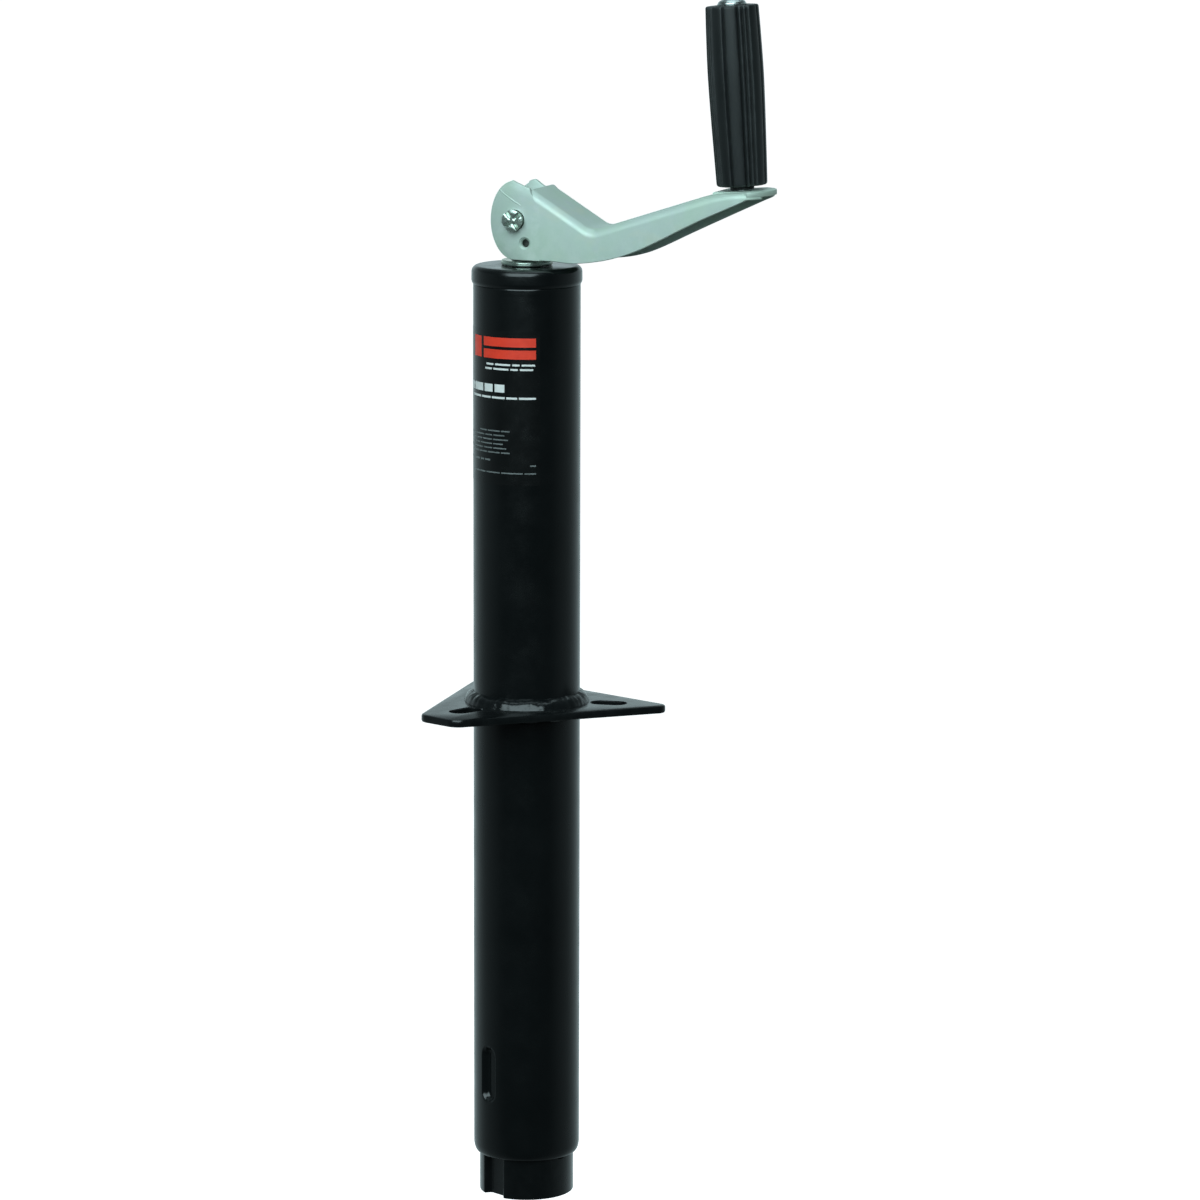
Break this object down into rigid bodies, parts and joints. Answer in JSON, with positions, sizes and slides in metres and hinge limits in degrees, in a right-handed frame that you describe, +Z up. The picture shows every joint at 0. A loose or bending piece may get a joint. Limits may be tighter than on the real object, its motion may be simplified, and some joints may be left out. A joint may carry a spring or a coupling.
{
  "type": "trailer tongue jack",
  "caption": "Tube jack with a triangular bolt-on flange, a folding crank handle with a spinning grip, and a screw-driven ram with a pin hole for a foot.",
  "frame": {"origin": "centre of the ram's flat foot, on the tube's axis, with the ram retracted", "axes": "+Z up along the tube's axis, -Y towards the nose of the mounting flange"},
  "size_m": [0.1959, 0.1335, 0.6495],
  "materials": {
    "black_paint": "semi-gloss black enamel",
    "zinc_plate": "clear zinc plate with a faint blue-green tint",
    "bright_steel": "bright steel",
    "oiled_steel": "oiled steel",
    "bronze": "machined bronze",
    "nylon": "natural nylon",
    "grip_plastic": "satin black moulded plastic",
    "black_rubber": "matt black",
    "label": null
  },
  "bodies": {
    "housing": {"outer_tube": "black_paint", "top_cap": "black_paint", "mounting_flange": "black_paint", "flange_weld_upper": "black_paint", "flange_weld_lower": "black_paint", "label": "label", "upper_race": "bright_steel"},
    "ball_bearing": {"ball_cage": "bronze", "bearing_ball_1": "bright_steel", "bearing_ball_2": "bright_steel", "bearing_ball_3": "bright_steel", "bearing_ball_4": "bright_steel", "bearing_ball_5": "bright_steel", "bearing_ball_6": "bright_steel", "bearing_ball_7": "bright_steel", "bearing_ball_8": "bright_steel", "bearing_ball_9": "bright_steel", "bearing_ball_10": "bright_steel"},
    "screw": {"lead_screw": "oiled_steel", "lower_race": "bright_steel", "stop_collar": "oiled_steel", "stop_pin": "oiled_steel", "top_washer": "zinc_plate"},
    "ram": {"inner_tube": "black_paint", "ram_end_plate": "black_paint", "lead_nut": "bronze", "nut_pin_1": "bright_steel", "nut_pin_2": "bright_steel", "nut_pin_3": "bright_steel", "guide_ring": "nylon"},
    "handle": {"handle_channel": "zinc_plate", "pivot_pin": "zinc_plate", "grip_spindle": "bright_steel", "grip_washer": "black_rubber", "push_nut": "bright_steel"},
    "grip": {"hand_grip": "grip_plastic"}
  },
  "joints": [
    {"name": "crank_turn", "type": "hinge", "parent": "housing", "child": "screw", "pos_m": [0, 0, 0.5], "axis": [0, 0, -1], "range_deg": [0, 32400]},
    {"name": "bearing_roll", "type": "hinge", "parent": "housing", "child": "ball_bearing", "pos_m": [0, 0, 0.5], "axis": [0, 0, -1], "range_deg": [0, 16200]},
    {"name": "ram_slide", "type": "slide", "parent": "housing", "child": "ram", "axis": [0, 0, -1], "range_m": [0, 0.381]},
    {"name": "handle_fold", "type": "hinge", "parent": "screw", "child": "handle", "pos_m": [0, 0, 0.5313], "axis": [0.3665, -0.9304, 0], "range_deg": [0, 180]},
    {"name": "grip_spin", "type": "hinge", "parent": "handle", "child": "grip", "pos_m": [0.11212, 0.04416, 0.5501], "axis": [-0.0633, -0.0249, 0.9977], "continuous": true}
  ],
  "couplings": [
    {"joint": "ram_slide", "follows": "crank_turn", "m_per_rad": 0.00067375},
    {"joint": "bearing_roll", "follows": "crank_turn", "ratio": 0.5}
  ]
}
